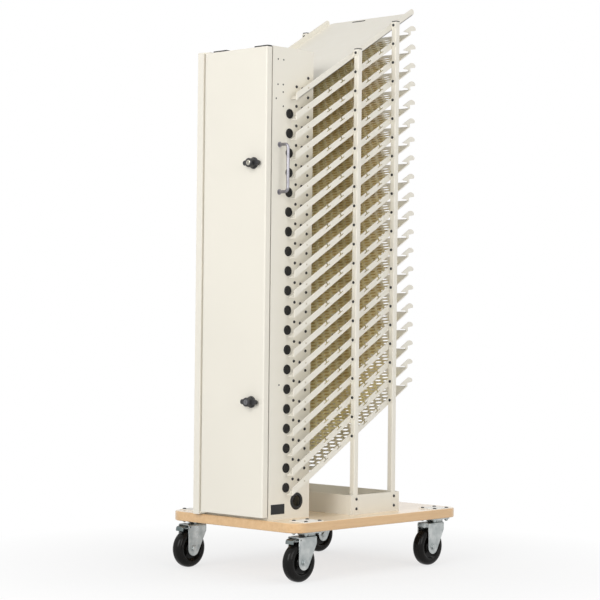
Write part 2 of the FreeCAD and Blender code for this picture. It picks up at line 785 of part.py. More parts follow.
shelf = flat_shelf()
for level in range(shelf_count):
    save("shelf_%02d" % (level + 1), tilted(shelf, level))
save("top_cover", tilted(shelf, shelf_count))
sides = (1, -1)
for side, side_name in zip(sides, ("right", "left")):
    for depth, place in zip(post_depths, ("front", "rear")):
        save("post_%s_%s" % (place, side_name), post(depth, side * post_x))
save("post_caps", *[post_cap(depth, side * post_x) for side in sides for depth in post_depths])
spots = [(depth, side, level) for side in sides for depth in post_depths for level in post_levels()]
save("post_clips", *[post_clip(*spot) for spot in spots])
bolts = [post_bolt(*spot) for spot in spots]
rows = ((bolt_depth_front, side_bolt_rise), (bolt_depth_rear, side_bolt_rise), (bolt_depth_low, -low_bolt_drop))
bolts += [side_bolt(depth, rise, side, level) for side in sides for level in post_levels()
          for depth, rise in rows]
bolts += [tray_bolt(depth, side, height) for side in sides for depth in post_depths
          for height in tray_bolt_heights]
save("bolts", *bolts)
save("post_tray", post_tray())
handle = bow_handle()
save("handles", handle, mirrored(handle))
save("power_strip", power_strip())
save("strip_switch", rocker())
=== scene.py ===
# %% [markdown]
# # Device charging tower
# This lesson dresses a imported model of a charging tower: a slim steel cabinet, twenty sloping
# shelves for tablets on four square posts, and a beech board on casters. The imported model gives
# every size and place, so it is loaded first and never moved. New pieces are drawn over it.

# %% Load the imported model
import math

import bpy
import numpy as np
from mathutils import Matrix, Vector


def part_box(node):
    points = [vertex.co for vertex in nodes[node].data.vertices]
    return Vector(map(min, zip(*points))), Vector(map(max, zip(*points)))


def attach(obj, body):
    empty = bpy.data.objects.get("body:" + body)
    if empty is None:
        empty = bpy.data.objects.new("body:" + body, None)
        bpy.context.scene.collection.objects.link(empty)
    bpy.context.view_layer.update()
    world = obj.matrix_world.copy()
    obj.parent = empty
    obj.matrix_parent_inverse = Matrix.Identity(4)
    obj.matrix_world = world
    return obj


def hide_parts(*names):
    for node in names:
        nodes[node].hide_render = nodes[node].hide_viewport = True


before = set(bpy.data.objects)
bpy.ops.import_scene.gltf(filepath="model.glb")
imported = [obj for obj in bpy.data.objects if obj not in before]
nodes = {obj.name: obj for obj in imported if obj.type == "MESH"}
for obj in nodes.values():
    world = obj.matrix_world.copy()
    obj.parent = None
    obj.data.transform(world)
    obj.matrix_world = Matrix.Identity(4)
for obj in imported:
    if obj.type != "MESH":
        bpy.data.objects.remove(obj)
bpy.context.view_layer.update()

# %% [markdown]
# ## Camera
# The photograph was taken from the front right, with a long lens, at about half the tower's
# height. The camera could be set by eye, but then the render would lie only loosely over the picture.
# Here its place and its axes come from a fit to the screw rows, so that the render lies over the picture.

# %% Camera
IMAGE_SIDE = 600
FOCAL_PIXELS = 1902.0
SENSOR = 36.0
CAMERA_PLACE = np.array([3.458, -3.733, 0.652])
CAMERA_RIGHT = np.array([0.728429, 0.685041, 0.010485])
CAMERA_AWAY = np.array([-0.685121, 0.728344, 0.011115])


def camera_axes(right, away):
    """Columns right, up, back: up is right cross away, back is away turned round."""
    away = away / np.linalg.norm(away)
    right = right - away * right.dot(away)
    right = right / np.linalg.norm(right)
    return np.stack([right, np.cross(right, away), -away], axis=1)


def stand(thing, axes, place):
    """Puts a camera or lamp at a place, with its own x, y and z along the columns of axes."""
    pose = np.eye(4)
    pose[:3, :3] = axes
    pose[:3, 3] = place
    thing.matrix_world = Matrix(pose.tolist())


lens = bpy.data.cameras.new("photo_lens")
lens.sensor_width = SENSOR
lens.sensor_height = SENSOR
lens.sensor_fit = "HORIZONTAL"
lens.lens = SENSOR * FOCAL_PIXELS / IMAGE_SIDE
lens.clip_end = 60.0
camera = bpy.data.objects.new("photo_camera", lens)
bpy.context.collection.objects.link(camera)
stand(camera, camera_axes(CAMERA_RIGHT, CAMERA_AWAY), CAMERA_PLACE)
bpy.context.scene.camera = camera
print("lens", round(lens.lens, 1), "mm")

# %% [markdown]
# ## Finishes
# The steel is powder coated in a warm off-white: a satin skin with a very fine orange peel. A
# plain colour would look like plastic, so a slow noise shifts the tone a little, a fine one moves
# the roughness, and a third makes the peel as a bump. All read Object coordinates, which are
# metres in the tower's frame, so the grain has its true size on every piece. The nodes could be
# joined by hand in the shader editor. Short calls add them here, so a finish reads as a recipe.

# %% Finishes: numbers between nodes


def mapped(tree, value, start, end, low, high):
    """A number from start to end, mapped in a straight line to low to high and held at both ends."""
    node = tree.nodes.new("ShaderNodeMapRange")
    for socket, number in zip(("From Min", "From Max", "To Min", "To Max"), (start, end, low, high)):
        node.inputs[socket].default_value = number
    tree.links.new(value, node.inputs["Value"])
    return node.outputs["Result"]


def largest(tree, first, *others):
    """The largest of several numbers: a chain of Maximum nodes, each taking in one more."""
    for other in others:
        larger = tree.nodes.new("ShaderNodeMath")
        larger.operation = "MAXIMUM"
        tree.links.new(first, larger.inputs[0])
        tree.links.new(other, larger.inputs[1])
        first = larger.outputs[0]
    return first


print("node helpers", mapped.__name__, largest.__name__)

# %% Finishes: one material and its nodes


class Finish:
    """A material with one Principled shader, and short calls that add nodes in front of it."""

    def __init__(self, name, **sockets):
        """A new material. In a socket's name an underscore stands for a space."""
        self.material = bpy.data.materials.new(name)
        self.material.use_nodes = True
        self.tree = self.material.node_tree
        self.shader = self.tree.nodes["Principled BSDF"]
        self.place = self.add("ShaderNodeTexCoord").outputs["Object"]
        for socket, value in sockets.items():
            self.shader.inputs[socket.replace("_", " ")].default_value = value

    def add(self, kind, **values):
        """One node. Each value sets the node's property of that name, or else its socket."""
        node = self.tree.nodes.new(kind)
        for key, value in values.items():
            if hasattr(node, key):
                setattr(node, key, value)
            else:
                node.inputs[key].default_value = value
        return node

    def link(self, output, socket):
        """A wire from an output to a socket."""
        self.tree.links.new(output, socket)

    def to(self, socket, output):
        """A wire from an output to one of the shader's sockets."""
        self.link(output, self.shader.inputs[socket])

    def noise(self, scale, detail=2.0, vector=None, roughness=0.5):
        """A cloudy number about 0.5, whose clouds are about one over scale of a metre wide."""
        node = self.add("ShaderNodeTexNoise", Scale=scale, Detail=detail, Roughness=roughness)
        self.link(vector or self.place, node.inputs["Vector"])
        return node.outputs["Fac"]

    def ramp(self, factor, *stops):
        """Colours at places along a 0 to 1 factor."""
        node = self.add("ShaderNodeValToRGB")
        elements = node.color_ramp.elements
        while len(elements) < len(stops):
            elements.new(0.5)
        for element, (position, colour) in zip(elements, stops):
            element.position = position
            element.color = (*colour, 1.0)
        self.link(factor, node.inputs["Fac"])
        return node.outputs["Color"]

    def spread(self, factor, low, high, start=0.3, end=0.7):
        """A factor's middle range mapped to numbers from low to high."""
        return mapped(self.tree, factor, start, end, low, high)

    def bump(self, height, strength, distance):
        """Small heights that only tilt the shading."""
        node = self.add("ShaderNodeBump", Strength=strength, Distance=distance)
        self.link(height, node.inputs["Height"])
        self.to("Normal", node.outputs["Normal"])


print("finish class", Finish.__name__)

# %% Finishes: powder coat
DRIFT_SCALE, WEAR_SCALE, PEEL_SCALE = 2.2, 38.0, 820.0
PEEL_DEPTH = 0.0002
CREAM = (0.80, 0.765, 0.675)


def tone(colour, factor):
    """A colour times a factor, with each part held at 1."""
    return tuple(min(1.0, part * factor) for part in colour)


def drifting(paint, drift, colour):
    """A colour that drifts by 2 % to either side with a slow noise."""
    return paint.ramp(drift, (0.3, tone(colour, 0.98)), (0.7, tone(colour, 1.02)))


def satin_skin(paint, rough_low, rough_high, peel):
    """Roughness that moves between two values, and a peel about 1.2 mm across."""
    paint.to("Roughness", paint.spread(paint.noise(WEAR_SCALE, 3.0), rough_low, rough_high))
    paint.bump(paint.noise(PEEL_SCALE, 1.5), peel, PEEL_DEPTH)


def powder_coat(name, colour):
    """Satin paint in one drifting colour."""
    paint = Finish(name, IOR=1.48)
    paint.to("Base Color", drifting(paint, paint.noise(DRIFT_SCALE, 3.0), colour))
    satin_skin(paint, 0.34, 0.46, 0.10)
    return paint.material


cream_steel = powder_coat("cream_powder_coat", CREAM)
rivet_paint = powder_coat("rivet_powder_coat", (0.56, 0.52, 0.42))
white_steel = powder_coat("plate_powder_coat", (0.86, 0.84, 0.79))
print("finishes", cream_steel.name, rivet_paint.name, white_steel.name)

# %% [markdown]
# ## Paint of the shelves, with painted shade
# The shelves have the same paint, but light gets between them only after many bounces from one
# warm sheet to the next, and each bounce takes out more blue. The plates therefore look olive near
# the cabinet and cream at the open end. A renderer stops after a few bounces, so that shade is
# painted into the colour: flanges, arms and both ends stay cream, the plates get a painted olive
# shade, deeper towards the middle. The lowest shelf has no sheet below it and keeps the plain cream.
# The liners under the plates get a browner painted shade still, matt and with a fine grain.

# %% Finish: tone by place and direction


def parts(finish, vector):
    """The outputs X, Y and Z of a vector."""
    node = finish.add("ShaderNodeSeparateXYZ")
    finish.link(vector, node.inputs["Vector"])
    return node.outputs


def facing(finish):
    """X, Y and Z of the direction in which the surface faces."""
    return parts(finish, finish.add("ShaderNodeNewGeometry").outputs["Normal"])


def unsigned(finish, value):
    """A number without its sign."""
    node = finish.add("ShaderNodeMath", operation="ABSOLUTE")
    finish.link(value, node.inputs[0])
    return node.outputs[0]


def mixed(finish, factor, first, second):
    """The first colour where the factor is 0, the second where it is 1."""
    node = finish.add("ShaderNodeMix", data_type="RGBA")
    finish.link(factor, node.inputs["Factor"])
    finish.link(first, node.inputs["A"])
    finish.link(second, node.inputs["B"])
    return node.outputs["Result"]


print("tone helpers", parts.__name__, facing.__name__, unsigned.__name__, mixed.__name__)

# %% Finish: shelf paint with painted shade
SHADE_OLIVE, DEEP_SHADE_OLIVE = (0.98, 0.89, 0.54), (0.80, 0.64, 0.30)
OPEN_END, CABINET_END, PLATE_EDGE = (0.12, 0.20), (-0.17, -0.13), (0.145, 0.152)
shelf = Finish("shelf_powder_coat", IOR=1.48)
place = parts(shelf, shelf.place)
sideways = unsigned(shelf, facing(shelf)["X"])
across = unsigned(shelf, place["X"])
unshaded_share = largest(
    shelf.tree,
    shelf.spread(sideways, 0.0, 1.0, 0.4, 0.8),
    shelf.spread(place["Y"], 0.0, 1.0, *OPEN_END),
    shelf.spread(place["Y"], 1.0, 0.0, *CABINET_END),
    shelf.spread(across, 0.0, 1.0, *PLATE_EDGE),
)
drift = shelf.noise(DRIFT_SCALE, 3.0)
inward = shelf.add("ShaderNodeMath", operation="ADD")
shelf.link(across, inward.inputs[0])
shelf.link(shelf.spread(drift, -0.004, 0.004), inward.inputs[1])
# Painted shade: olive between the shelves, deeper olive towards the middle, cream where light gets in.
painted_shade_tone = shelf.ramp(inward.outputs[0], (0.045, DEEP_SHADE_OLIVE), (0.085, SHADE_OLIVE))
shelf.to("Base Color", mixed(shelf, unshaded_share, painted_shade_tone, drifting(shelf, drift, CREAM)))
satin_skin(shelf, 0.36, 0.48, 0.08)
shelf_painted_shade_steel = shelf.material
print("finish", shelf_painted_shade_steel.name)

# %% Finish: paint of the liners, a painted shade
liner = Finish("liner_painted_shade", IOR=1.4)
speckle = liner.noise(600.0, 3.0)
# Painted shade: a brown darker than the shelves' olive, so the slots over it look dark.
liner.to("Base Color", liner.ramp(speckle, (0.3, (0.62, 0.46, 0.19)), (0.7, (0.76, 0.58, 0.26))))
liner.to("Roughness", liner.spread(speckle, 0.85, 0.95))
liner.bump(speckle, 0.25, 0.0004)
liner_painted_shade = liner.material
print("finish", liner_painted_shade.name)

# %% [markdown]
# ## Beech board
# The board is faced with beech foil: fine straight grain along its length, crossed by short dark
# flecks. Its top is painted paler than the edge: painted light on the face that the light falls on.
# A picture of real wood could be wrapped round it, but noise needs no file and never repeats. One
# long noise makes the grain, a second stretched noise cuts out the flecks, and the face's own normal
# picks the paler, painted-light top or the edge.

# %% Finish: beech
EDGE_TONES = ((0.25, (0.64, 0.40, 0.19)), (0.55, (0.715, 0.465, 0.235)), (0.8, (0.765, 0.515, 0.275)))
LIT_TOP_TONES = ((0.25, (0.78, 0.58, 0.36)), (0.55, (0.88, 0.70, 0.48)), (0.8, (0.92, 0.76, 0.55)))
FLECK_TONE = (0.62, 0.44, 0.28)


def stretched(finish, scale):
    """Object coordinates stretched by a scale along each axis."""
    mapping = finish.add("ShaderNodeMapping")
    mapping.inputs["Scale"].default_value = scale
    finish.link(finish.place, mapping.inputs["Vector"])
    return mapping.outputs["Vector"]


beech = Finish("beech_foil", Coat_Weight=0.7, Coat_Roughness=0.15, IOR=1.5)
grain = beech.noise(1.0, 5.0, stretched(beech, (70.0, 3.0, 70.0)), 0.62)
fleck = beech.noise(1.0, 2.0, stretched(beech, (420.0, 22.0, 420.0)), 0.5)
# Painted light: faces that point up get the paler top tones.
painted_light_top = beech.spread(facing(beech)["Z"], 0.0, 1.0, 0.6, 0.95)
wood_tone = mixed(beech, painted_light_top, beech.ramp(grain, *EDGE_TONES), beech.ramp(grain, *LIT_TOP_TONES))
flecked = beech.add("ShaderNodeMix", data_type="RGBA", blend_type="MULTIPLY")
beech.link(beech.spread(fleck, 0.0, 0.3, 0.60, 0.74), flecked.inputs["Factor"])
beech.link(wood_tone, flecked.inputs["A"])
flecked.inputs["B"].default_value = (*FLECK_TONE, 1.0)
beech.to("Base Color", flecked.outputs["Result"])
beech.to("Roughness", beech.spread(grain, 0.30, 0.42))
beech.bump(grain, 0.12, 0.0003)
beech_wood = beech.material
print("finish", beech_wood.name)

# %% [markdown]
# ## Metals, rubber and plastic
# Casters are zinc plated, with a cloudy cool grey spangle. The handle is bright plated wire. Tyres,
# grommets and latches are black, but not one black: the tyres are glossy and worn, the rubber is
# dull, and the latches have a fine moulded grain. One recipe serves for every metal and one for
# every moulding, because only their tones, gloss and grain differ.

# %% Finishes: metals


def plated(name, dark, light, rough_low, rough_high, cloud=45.0):
    """Metal whose tone and roughness drift with a cloudy noise, with fine drawn scratches as bump."""
    metal = Finish(name, Metallic=1.0)
    clouds = metal.noise(cloud, 4.0)
    metal.to("Base Color", metal.ramp(clouds, (0.32, dark), (0.68, light)))
    metal.to("Roughness", metal.spread(clouds, rough_high, rough_low))
    metal.bump(metal.noise(1.0, 2.0, stretched(metal, (900.0, 900.0, 60.0))), 0.08, 0.0002)
    return metal.material


zinc = plated("zinc_plating", (0.36, 0.39, 0.39), (0.56, 0.58, 0.57), 0.26, 0.42)
brake_zinc = plated("brake_zinc", (0.13, 0.16, 0.16), (0.22, 0.25, 0.25), 0.32, 0.48)
bright_wire = plated("bright_wire", (0.27, 0.265, 0.29), (0.37, 0.36, 0.39), 0.28, 0.36)
key_steel = plated("key_cylinder", (0.40, 0.375, 0.32), (0.55, 0.52, 0.45), 0.22, 0.34, 200.0)
print("metals", zinc.name, brake_zinc.name, bright_wire.name, key_steel.name)

# %% Finishes: rubber and plastic


def moulded(name, colour, rough, grain_scale, grain_depth, specular=0.5):
    """Rubber, plastic or dark coating: dusty tone drift and a moulded grain."""
    moulding = Finish(name, Specular_IOR_Level=specular)
    dust = moulding.noise(30.0, 4.0)
    moulding.to("Base Color", moulding.ramp(dust, (0.35, colour), (0.8, tone(colour, 1.7))))
    moulding.to("Roughness", moulding.spread(dust, rough - 0.05, rough + 0.08))
    moulding.bump(moulding.noise(grain_scale, 2.0), grain_depth, 0.0002)
    return moulding.material


# Also painted shade: this black stands for the dark inside of the keyholes.
black_screw = moulded("black_screw", (0.016, 0.016, 0.017), 0.38, 300.0, 0.05)
tyre_rubber = moulded("tyre_rubber", (0.006, 0.0055, 0.005), 0.16, 240.0, 0.04, 0.14)
# Also painted shade: this rubber stands for the dark inside of the socket holes and the lid's pull slot.
soft_rubber_and_hole_shade = moulded("soft_rubber_and_hole_shade", (0.011, 0.011, 0.011), 0.5, 500.0, 0.12, 0.3)
black_plastic = moulded("black_plastic", (0.017, 0.017, 0.018), 0.42, 700.0, 0.12)
grey_plastic = moulded("grey_plastic", (0.10, 0.10, 0.105), 0.45, 700.0, 0.1)
dark_plate = moulded("dark_plate", (0.013, 0.014, 0.015), 0.35, 900.0, 0.05, 0.3)
pale_nylon = moulded("pale_nylon", (0.44, 0.43, 0.40), 0.5, 600.0, 0.05)
red_rocker = moulded("red_rocker", (0.30, 0.012, 0.012), 0.25, 600.0, 0.03)
print("finishes so far", len(bpy.data.materials))

# %% [markdown]
# ## Pieces that keep their CAD shape
# Flat panels, posts, tray and door are right as they come, so they only get a finish. A node's
# material is set in its slot and its mesh is left alone.

# %% Pieces that keep their CAD shape
shelf_names = ["shelf_%02d" % n for n in range(1, 21)]
corners = ("front_right", "front_left", "rear_right", "rear_left")
kept = {
    cream_steel: ["side_panel_right", "side_panel_left", "cabinet_top", "cabinet_bottom", "back_panels",
                  "hinge_stile", "door_panel", "post_tray", "post_front_right", "post_front_left",
                  "post_rear_right", "post_rear_left", "post_clips"],
    white_steel: ["top_plates"],
    beech_wood: ["base_board"],
    soft_rubber_and_hole_shade: ["door_pads"],
    black_plastic: ["post_caps", "power_strip"],
    dark_plate: ["blank_plate"],
    bright_wire: ["handles"],
    pale_nylon: ["pivot_bushes"],
    red_rocker: ["strip_switch"],
}
for finish, names in kept.items():
    for name in names:
        slots = nodes[name].data.materials
        slots.clear()
        slots.append(finish)
print("dressed", sum(len(names) for names in kept.values()), "nodes")

# %% [markdown]
# ## Tools for sheet metal
# Most new pieces are sheets: a flat outline with a thickness, laid along three axes. Blender could
# extrude a curve, or give a plane a thickness with Solidify. The points are computed as arrays
# instead, because then the formula is in view and each size is exact.

# %% Tools for sheet metal: outlines and thickness
MM = 0.001
ORIGIN = (0, 0, 0)
ALONG_X = ((0, 1, 0), (0, 0, 1), (1, 0, 0))


def arc(centre, radius, start, end, count):
    """Points on a circle from one angle to another, in degrees."""
    a = np.radians(np.linspace(start, end, count))
    return np.stack([centre[0] + radius * np.cos(a), centre[1] + radius * np.sin(a)], axis=1)


def mirrored(half, flip=(-1, 1)):
    """One half of an outline, and back along its mirror image."""
    half = np.asarray(half, float)
    return np.vstack([half, half[::-1] * flip])


def plate(outline, low, high):
    """A flat outline (x, y), drawn counter-clockwise, between two heights."""
    outline = np.asarray(outline, float)
    count = len(outline)
    heights = np.repeat([low, high], count)[:, None]
    points = np.hstack([np.vstack([outline, outline]), heights])
    around = np.arange(count)
    after = (around + 1) % count
    walls = np.stack([around, after, after + count, around + count], axis=1)
    return points, walls.tolist() + [around[::-1].tolist(), (around + count).tolist()]


def block(x0, x1, y0, y1, z0, z1):
    """A plate with a rectangle as its outline."""
    return plate([(x0, y0), (x1, y0), (x1, y1), (x0, y1)], z0, z1)


print("corners of a block", len(block(0, 1, 0, 1, 0, 1)[0]))


def placed(shape, origin, axes=((1, 0, 0), (0, 1, 0), (0, 0, 1))):
    """The shape's own x, y, z run along three given axes from an origin."""
    points, faces = shape
    return points @ np.asarray(axes, float) + np.asarray(origin, float), faces


def joined(shapes):
    """Several shapes as one list of points and faces."""
    points, faces, start = [], [], 0
    for part_points, part_faces in shapes:
        points.append(part_points)
        faces += [[i + start for i in face] for face in part_faces]
        start += len(part_points)
    return np.vstack(points), faces


def repeated(shape, places):
    """One shape copied to many places: its points are added to each place, its faces counted on."""
    points, faces = shape
    places = np.asarray(places, float)
    every = (places[:, None, :] + points[None]).reshape(-1, 3)
    steps = (len(points) * np.arange(len(places))).tolist()
    return every, [[i + step for i in face] for step in steps for face in faces]


def make(name, shapes, body, finish, stands_for=(), sharp=35.0, bevel=0.0):
    """Puts shapes, in millimetres, into one mesh that rides on a body and may stand for CAD nodes."""
    points, faces = joined(shapes)
    mesh = bpy.data.meshes.new(name)
    mesh.from_pydata((points * MM).tolist(), [], faces)
    mesh.materials.append(finish)
    mesh.polygons.foreach_set("use_smooth", np.ones(len(mesh.polygons), bool))
    mesh.set_sharp_from_angle(angle=math.radians(sharp))
    mesh.update()
    piece = bpy.data.objects.new(name, mesh)
    bpy.context.collection.objects.link(piece)
    if bevel:
        rounding = piece.modifiers.new("edge_rounding", "BEVEL")
        rounding.width = bevel * MM
        rounding.segments = 2
        rounding.limit_method = "ANGLE"
        rounding.angle_limit = math.radians(40)
    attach(piece, body)
    if stands_for:
        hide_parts(*stands_for)


def box_mm(name):
    """Lowest and highest corner of a CAD node, in millimetres."""
    return tuple(np.array(corner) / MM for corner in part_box(name))


print("board", box_mm("base_board"), "mm")

# %% [markdown]
# ## Perforated shelves
# Each shelf is a folded sheet: staggered slots over the plate, upturned side flanges with T-shaped
# notches, hooked ears at the upper end, a tongue into the cabinet and an arm along each of its
# sides. Cutting thousands of slots with booleans is slow and leaves poor faces. One slot cell is
# drawn instead, with twelve points round it, and numpy copies it to every place. Rows are shifted
# by half a cell, and the cells' corner points still meet.

# %% Perforated shelves: the slot field
TILT = math.radians(31.0)
SHEET_LOW, SHEET_HIGH = -11.6, -10.0
CELL_X, CELL_S = 29.0, 15.17
SLOT_HALF, SLOT_RADIUS = 10.5, 4.6


def slot_cell():
    """Twelve outer points on the cell's edge and twelve on the slot, both counter-clockwise."""
    x, s = CELL_X / 2, CELL_S / 2
    outer = [(-x / 2, -s), (0, -s), (x / 2, -s), (x, -s), (x, 0), (x, s),
             (x / 2, s), (0, s), (-x / 2, s), (-x, s), (-x, 0), (-x, -s)]
    straight, r, d = SLOT_HALF - SLOT_RADIUS, SLOT_RADIUS, SLOT_RADIUS * math.sqrt(0.5)
    inner = [(-straight, -r), (0, -r), (straight, -r), (straight + d, -d), (SLOT_HALF, 0), (straight + d, d),
             (straight, r), (0, r), (-straight, r), (-straight - d, d), (-SLOT_HALF, 0), (-straight - d, -d)]
    flat = np.array(outer + inner + outer + inner)
    heights = np.repeat([SHEET_HIGH, SHEET_LOW], 24)[:, None]
    k = np.arange(12)
    j = (k + 1) % 12
    upper = np.stack([k, j, j + 12, k + 12], axis=1)
    lower = np.stack([j + 24, k + 24, k + 36, j + 36], axis=1)
    wall = np.stack([k + 12, j + 12, j + 36, k + 36], axis=1)
    return np.hstack([flat, heights]), np.vstack([upper, lower, wall]).tolist()


def slot_field(x0, s0, cells, rows):
    """Rows of slot cells from corner (x0, s0). The first and every second row is half a cell over.

    A row that is half a cell over has one cell fewer and a plain half cell at each end.
    """
    row, column = np.arange(rows), np.arange(cells)
    over = row % 2 == 0
    x = x0 + CELL_X * (column[None, :] + 0.5 + 0.5 * over[:, None])
    s = s0 + CELL_S * (row[:, None] + 0.5) + 0 * x
    keep = ~(over[:, None] & (column[None, :] == cells - 1))
    centres = np.stack([x[keep], s[keep], 0 * x[keep]], axis=1)
    field = [repeated(slot_cell(), centres)]
    for start in s0 + CELL_S * row[over]:
        for left in (x0, x0 + CELL_X * (cells - 0.5)):
            field.append(block(left, left + CELL_X / 2, start, start + CELL_S, SHEET_LOW, SHEET_HIGH))
    return field, len(centres)


print("slot cell", CELL_X, "x", CELL_S, "mm, faces", len(slot_cell()[1]))

# %% Perforated shelves: flange with T-slots and a hooked ear
HALF_SHELF, SHEET = 155.0, 1.6
FLANGE_TOP, FLANGE_START, FLANGE_END, PLATE_END = 4.5, -43.0, 414.0, 478.0
FLANGE_LEAN = (FLANGE_TOP - SHEET_LOW) * math.tan(TILT)
T_SLOTS = (107.0, 165.0, 283.0, 341.0)
T_HALF = ((2.5, 0.0), (2.5, -6.0), (10.0, -6.0), (10.0, -8.5))
EAR_TURN, EAR_RADIUS, TIP_RADIUS = 20.0, 18.0, 5.0


def flange_outline():
    """Side flange in (s, n): plate edge, hooked ear, low rim, top edge with T-slots, leaning front end."""
    bend_centre = np.array([PLATE_END + 9.5, SHEET_HIGH])
    turn = math.radians(EAR_TURN)
    tip_centre = bend_centre + (EAR_RADIUS - TIP_RADIUS) * np.array([math.cos(turn), math.sin(turn)])
    tip = arc(tip_centre, TIP_RADIUS, -90, EAR_TURN, 7)
    bend = arc(bend_centre, EAR_RADIUS, EAR_TURN, 90, 7)
    neck = [(PLATE_END - 24, 8.0), (PLATE_END - 6, -3.5), (PLATE_END - 6, -9.0)]
    ear = np.vstack([[(PLATE_END + 4, -3.5)], tip, bend[1:], neck])
    rim = [(FLANGE_END + FLANGE_TOP, -9.0), (FLANGE_END, FLANGE_TOP)]
    slots = [mirrored(T_HALF) + [place, FLANGE_TOP] for place in T_SLOTS[::-1]]
    front = [(FLANGE_START + FLANGE_LEAN, FLANGE_TOP), (FLANGE_START, SHEET_LOW), (PLATE_END, SHEET_LOW)]
    return np.vstack([ear, rim, *slots, front])


print("flange points", len(flange_outline()))

# %% Perforated shelves: plain strips round the slots
cabinet_low, cabinet_high = box_mm("side_panel_right")
CABINET_HALF, CABINET_FRONT, CABINET_REAR = cabinet_high[0], cabinet_low[1], cabinet_high[1]
SCREW_DEPTH, ARM_INNER = 87.0, 136.0
REAR_STEP = CABINET_REAR - CABINET_FRONT - SCREW_DEPTH
THROAT = (REAR_STEP + SHEET_LOW * math.sin(TILT)) / math.cos(TILT) + 2.0
TONGUE_HALF, TONGUE_START, TONGUE_END, TONGUE_RISE = CABINET_HALF - 2.0, -8.0, 62.0, 22.0
FIELD_HALF, FIELD_ROWS = 5 * CELL_X, 24
FIELD_START = PLATE_END - 0.3 - CELL_S * (FIELD_ROWS + 2)
FIELD_END = FIELD_START + CELL_S * FIELD_ROWS
LAST_ROW = FIELD_END + CELL_S
TAB_INNER, FINGER_HALF, FINGER_START, FINGER_ROUND = 2 * CELL_X, 37.0, PLATE_END - 24.0, 8.0


def notched_end():
    """The plain end between the last slots, with a finger notch whose inner corners are round."""
    notch_x, notch_s = FINGER_HALF - FINGER_ROUND, FINGER_START + FINGER_ROUND
    return np.vstack([[(-TAB_INNER, FIELD_END), (TAB_INNER, FIELD_END)],
                      [(TAB_INNER, PLATE_END), (FINGER_HALF, PLATE_END)],
                      arc((notch_x, notch_s), FINGER_ROUND, 0, -90, 6),
                      arc((-notch_x, notch_s), FINGER_ROUND, -90, -180, 6),
                      [(-FINGER_HALF, PLATE_END), (-TAB_INNER, PLATE_END)]])


def shelf_border():
    """Plain strips round the slots, arms, flanges, tongue and the plain end with its finger notch."""
    pieces = []
    edge = HALF_SHELF - SHEET
    strips = ((FIELD_HALF, edge, THROAT, PLATE_END, SHEET_HIGH),
              (ARM_INNER, edge, FLANGE_START, THROAT, SHEET_HIGH),
              (TONGUE_HALF - SHEET, TONGUE_HALF, TONGUE_START, TONGUE_END, SHEET_LOW + TONGUE_RISE),
              (TAB_INNER, FIELD_HALF, LAST_ROW, PLATE_END, SHEET_HIGH))
    for side in (1, -1):
        for near, far, s0, s1, top in strips:
            x0, x1 = sorted((side * near, side * far))
            pieces.append(block(x0, x1, s0, s1, SHEET_LOW, top))
        x0 = edge if side > 0 else -HALF_SHELF
        pieces.append(placed(plate(flange_outline(), x0, x0 + SHEET), ORIGIN, ALONG_X))
    pieces.append(block(-TONGUE_HALF, TONGUE_HALF, TONGUE_START, THROAT, SHEET_LOW, SHEET_HIGH))
    pieces.append(block(-FIELD_HALF, FIELD_HALF, THROAT, FIELD_START, SHEET_LOW, SHEET_HIGH))
    pieces.append(plate(notched_end(), SHEET_LOW, SHEET_HIGH))
    return pieces


print("border pieces", len(shelf_border()))

# %% Perforated shelves: twenty of them, one pitch apart
DECK = cabinet_low[2]
FIRST_SCREW, PITCH = 93.0, 50.0
SLOPE_AXES = ((1, 0, 0), (0, math.cos(TILT), math.sin(TILT)), (0, -math.sin(TILT), math.cos(TILT)))


def flat_shelf():
    """The whole sheet before it is tilted: x across, s up the slope, n away from the sheet."""
    fields = [slot_field(-FIELD_HALF, FIELD_START, 10, FIELD_ROWS),
              slot_field(-FIELD_HALF, FIELD_END, 3, 1),
              slot_field(TAB_INNER, FIELD_END, 3, 1)]
    cells = [piece for pieces, count in fields for piece in pieces]
    return joined(cells + shelf_border()), sum(count for pieces, count in fields)


def sloped(shape, level):
    """A flat shape (x, s, n) laid on the slope of a level, from the level's first screw."""
    foot = (0.0, CABINET_FRONT + SCREW_DEPTH, DECK + FIRST_SCREW + PITCH * level)
    return placed(shape, foot, SLOPE_AXES)


shelf_shape, slot_count = flat_shelf()
for level, name in enumerate(shelf_names):
    # The lowest shelf keeps the plain cream, the others carry the painted shade.
    paint = shelf_painted_shade_steel if level else cream_steel
    make("perforated_" + name, [sloped(shelf_shape, level)], "tower", paint,
         stands_for=[name], sharp=20.0)
print("shelves", len(shelf_names), "slots in each", slot_count, "faces", len(shelf_shape[1]))

# %% [markdown]
# ## Lid
# A plain lid closes the stack at the top. It is a sheet like the shelves, but without slots, a
# little longer, with round upper corners and plain upturned sides. Its slot to pull it by is a thin
# dark shape on the plate: painted shade for the opening. A shelf could be filled in for it, but then
# its ears and its finger notch would show, so the lid has an outline of its own: the right half is
# drawn, and the left half is its mirror image.

# %% Lid
LID_END, LID_ARM, LID_CORNER, LID_NOSE = 499.0, 126.0, 14.0, 8.0
PULL_HALF, PULL_HIGH, PULL_ROUND = 24.0, 3.5, 3.4
PULL_PLACE = (-40.0, 487.0, 0.0)
LID_LEVEL = len(shelf_names)


